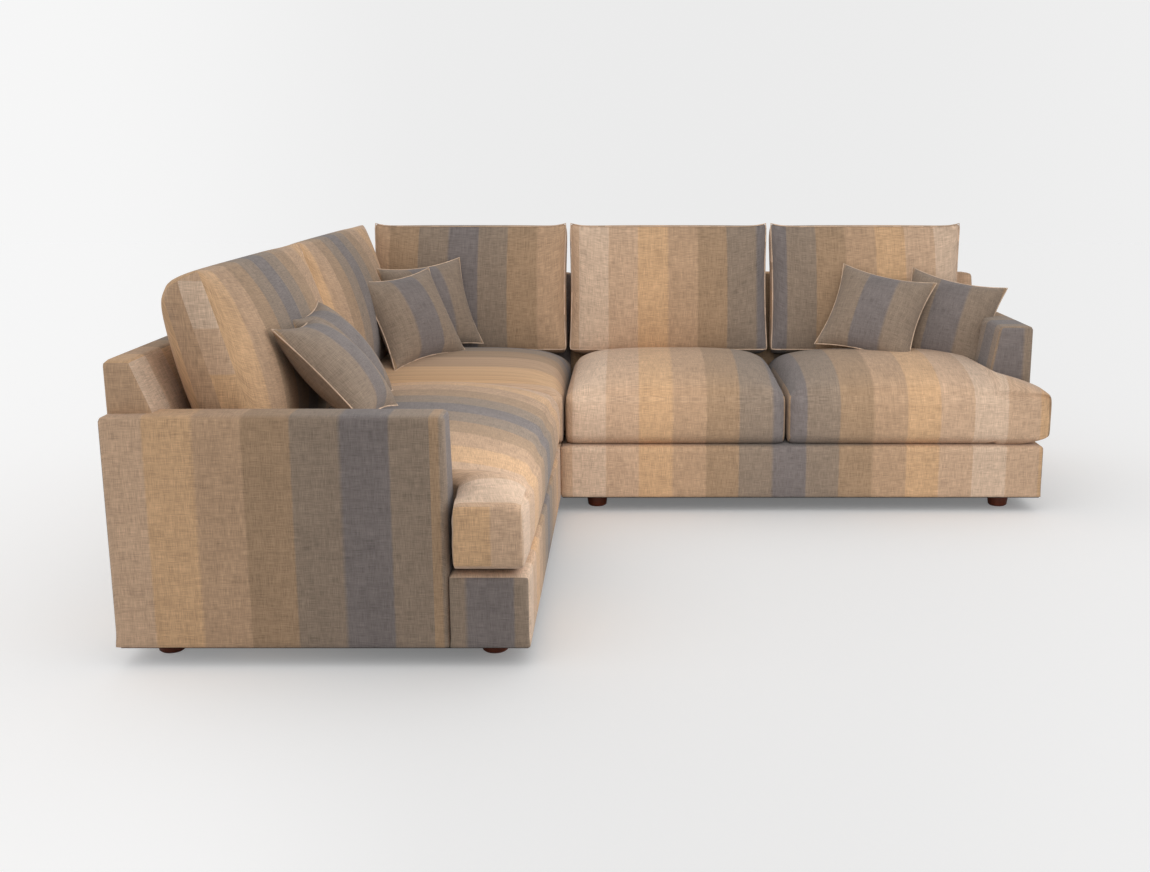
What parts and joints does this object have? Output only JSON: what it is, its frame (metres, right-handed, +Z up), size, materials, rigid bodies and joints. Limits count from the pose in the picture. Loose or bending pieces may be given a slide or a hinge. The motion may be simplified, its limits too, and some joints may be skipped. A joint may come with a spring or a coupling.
{
  "type": "corner sofa",
  "caption": "Corner sofa in joined sections with one T-cushion wing, loose seat, back and scatter cushions, sloped low arms and turned feet.",
  "frame": {"origin": "on the floor, below the middle of the bounding box", "axes": "+X to the right along the long wing, +Y to the back of the long wing, +Z up"},
  "size_m": [2.681, 2.455, 0.9517],
  "materials": {
    "striped_linen": "slubby linen weave in a broad twelve stripe repeat",
    "striped_linen_cushions": "slubby linen weave in a broad twelve stripe repeat, filled with foam and fibre",
    "frame_timber": "sawn softwood and plywood",
    "felt": "needled felt",
    "elastic_webbing": "woven elastic webbing",
    "dust_cloth": "black spun dust cloth",
    "stained_beech": "turned, stained and lacquered",
    "zinc_steel": "zinc plated"
  },
  "bodies": {
    "root": {"corner_back_cover": "striped_linen", "corner_back_frame": "frame_timber", "corner_back_webbing": "elastic_webbing", "corner_base_cover": "striped_linen", "corner_base_frame": "frame_timber", "corner_dust_cover": "dust_cloth", "corner_feet": "stained_beech", "corner_felt_pad": "felt", "corner_foot_bolts": "zinc_steel", "corner_seat_cushion": "striped_linen_cushions", "corner_seat_webbing": "elastic_webbing", "left_arm_cover": "striped_linen", "left_arm_frame": "frame_timber", "left_back_cover": "striped_linen", "left_back_frame": "frame_timber", "left_back_webbing": "elastic_webbing", "left_base_cover": "striped_linen", "left_base_frame": "frame_timber", "left_dust_cover": "dust_cloth", "left_feet": "stained_beech", "left_felt_pad": "felt", "left_foot_bolts": "zinc_steel", "left_joint_catches": "zinc_steel", "left_joint_hooks": "zinc_steel", "left_seat_webbing": "elastic_webbing", "right_arm_cover": "striped_linen", "right_arm_frame": "frame_timber", "right_back_cover": "striped_linen", "right_back_frame": "frame_timber", "right_back_webbing": "elastic_webbing", "right_base_cover": "striped_linen", "right_base_frame": "frame_timber", "right_dust_cover": "dust_cloth", "right_feet": "stained_beech", "right_felt_pad": "felt", "right_foot_bolts": "zinc_steel", "right_joint_catches": "zinc_steel", "right_joint_hooks": "zinc_steel", "right_seat_webbing": "elastic_webbing"},
    "left_seat_cushion": {"left_seat_cushion": "striped_linen_cushions"},
    "middle_seat_cushion": {"middle_seat_cushion": "striped_linen_cushions"},
    "right_seat_cushion": {"right_seat_cushion": "striped_linen_cushions"},
    "left_back_cushion": {"left_back_cushion": "striped_linen_cushions"},
    "left_far_back_cushion": {"left_far_back_cushion": "striped_linen_cushions"},
    "right_back_cushion": {"right_back_cushion": "striped_linen_cushions"},
    "middle_back_cushion": {"middle_back_cushion": "striped_linen_cushions"},
    "corner_back_cushion": {"corner_back_cushion": "striped_linen_cushions"},
    "left_scatter_near": {"left_scatter_near": "striped_linen_cushions"},
    "left_scatter_far": {"left_scatter_far": "striped_linen_cushions"},
    "right_scatter_outer": {"right_scatter_outer": "striped_linen_cushions"},
    "right_scatter_inner": {"right_scatter_inner": "striped_linen_cushions"},
    "corner_scatter_front": {"corner_scatter_front": "striped_linen_cushions"},
    "corner_scatter_rear": {"corner_scatter_rear": "striped_linen_cushions"}
  },
  "joints": [
    {"name": "left_seat_cushion_pull", "type": "slide", "parent": "root", "child": "left_seat_cushion", "axis": [-1, 0, 0], "range_m": [-0.45, 0]},
    {"name": "middle_seat_cushion_pull", "type": "slide", "parent": "root", "child": "middle_seat_cushion", "axis": [0, -1, 0], "range_m": [0, 0.45]},
    {"name": "right_seat_cushion_pull", "type": "slide", "parent": "root", "child": "right_seat_cushion", "axis": [0, -1, 0], "range_m": [0, 0.45]},
    {"name": "left_back_cushion_lift", "type": "slide", "parent": "root", "child": "left_back_cushion", "axis": [-0.2588, 0, 0.9659], "range_m": [0, 0.3]},
    {"name": "left_far_back_cushion_lift", "type": "slide", "parent": "root", "child": "left_far_back_cushion", "axis": [-0.2588, 0, 0.9659], "range_m": [0, 0.3]},
    {"name": "right_back_cushion_lift", "type": "slide", "parent": "root", "child": "right_back_cushion", "axis": [0, 0.2588, 0.9659], "range_m": [0, 0.3]},
    {"name": "middle_back_cushion_lift", "type": "slide", "parent": "root", "child": "middle_back_cushion", "axis": [0, 0.2588, 0.9659], "range_m": [0, 0.3]},
    {"name": "corner_back_cushion_lift", "type": "slide", "parent": "root", "child": "corner_back_cushion", "axis": [0, 0.2588, 0.9659], "range_m": [0, 0.3]},
    {"name": "left_scatter_near_lift", "type": "slide", "parent": "root", "child": "left_scatter_near", "axis": [0.2511, -0.0626, 0.9659], "range_m": [0, 0.2]},
    {"name": "left_scatter_far_lift", "type": "slide", "parent": "root", "child": "left_scatter_far", "axis": [-0.2017, 0.0503, 0.9781], "range_m": [0, 0.2]},
    {"name": "right_scatter_outer_lift", "type": "slide", "parent": "root", "child": "right_scatter_outer", "axis": [0.1, 0.2747, 0.9563], "range_m": [0, 0.2]},
    {"name": "right_scatter_inner_lift", "type": "slide", "parent": "root", "child": "right_scatter_inner", "axis": [-0.0885, -0.2432, 0.9659], "range_m": [0, 0.2]},
    {"name": "corner_scatter_front_lift", "type": "slide", "parent": "root", "child": "corner_scatter_front", "axis": [0.204, -0.1593, 0.9659], "range_m": [0, 0.2]},
    {"name": "corner_scatter_rear_lift", "type": "slide", "parent": "root", "child": "corner_scatter_rear", "axis": [-0.176, 0.2335, 0.9563], "range_m": [0, 0.2]}
  ]
}
